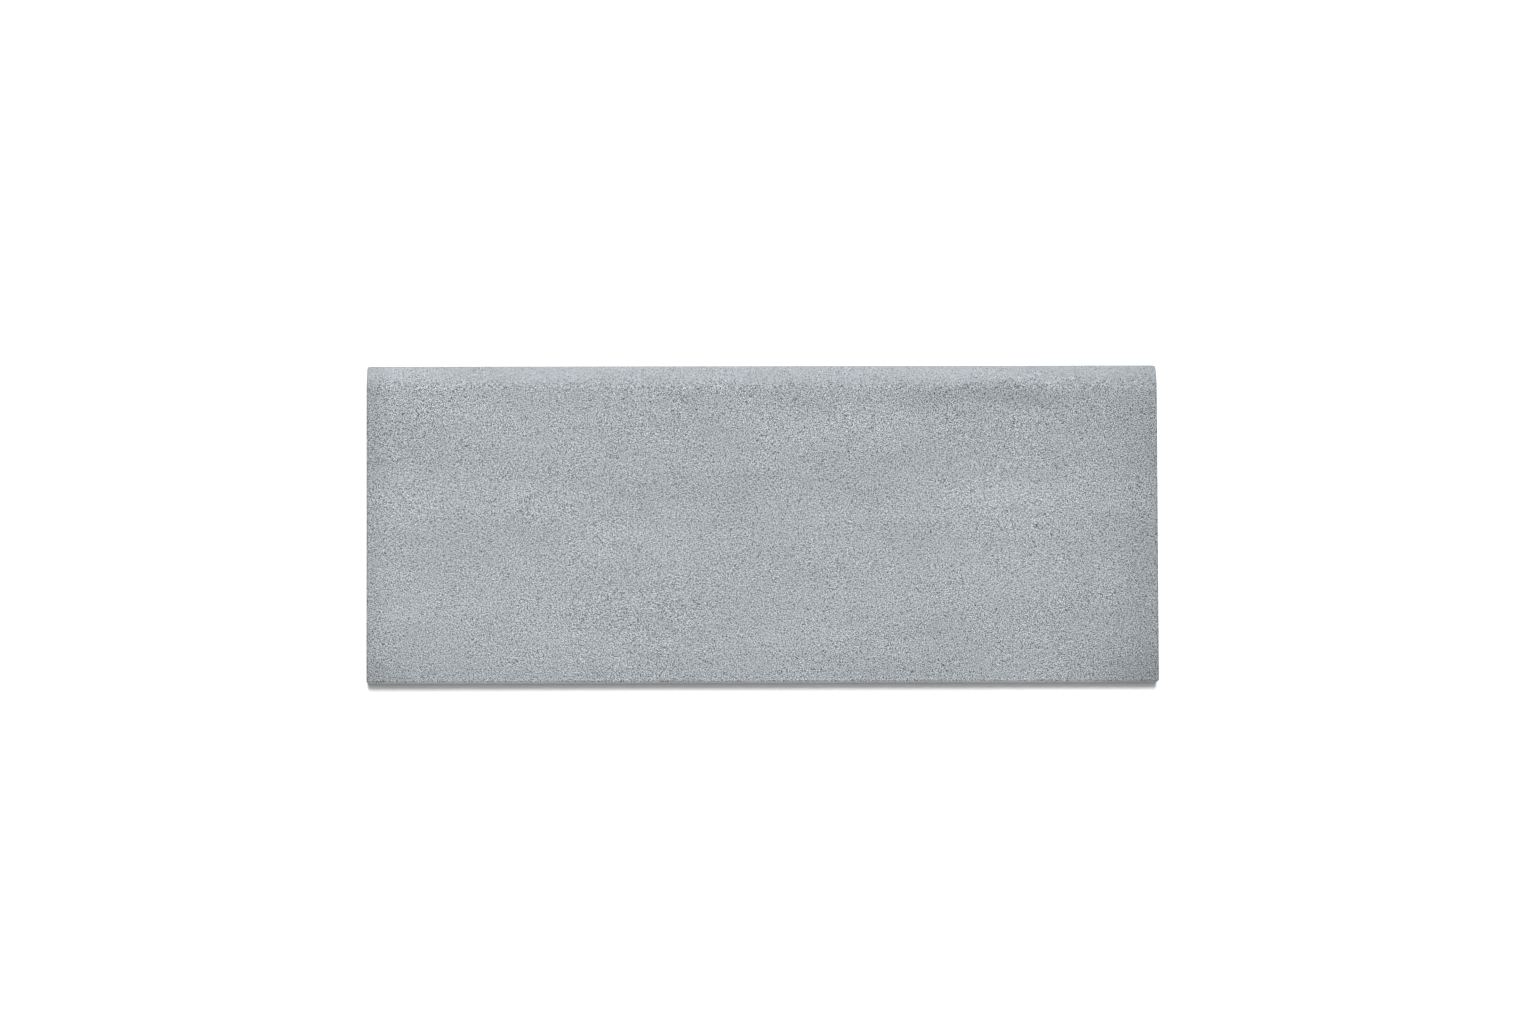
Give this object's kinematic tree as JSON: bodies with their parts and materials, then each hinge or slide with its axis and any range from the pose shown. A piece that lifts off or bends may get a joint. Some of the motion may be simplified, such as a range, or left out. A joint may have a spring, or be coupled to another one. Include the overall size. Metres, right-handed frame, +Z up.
{
  "type": "pool coping stone",
  "caption": "Rectangular cast concrete slab with one long edge rounded over into a nose, laid on top of a swimming pool wall to cap it and give a smooth edge to hold or walk on.",
  "frame": {"origin": "middle of the underside, which lies in the plane z = 0", "axes": "+X along the edge of the pool, +Y across the stone from the terrace to the rounded pool side, +Z up through the walking face"},
  "size_m": [0.992, 0.4, 0.05],
  "materials": {
    "cast_concrete": "matte"
  },
  "bodies": {
    "root": {"coping_stone": "cast_concrete"}
  },
  "joints": []
}
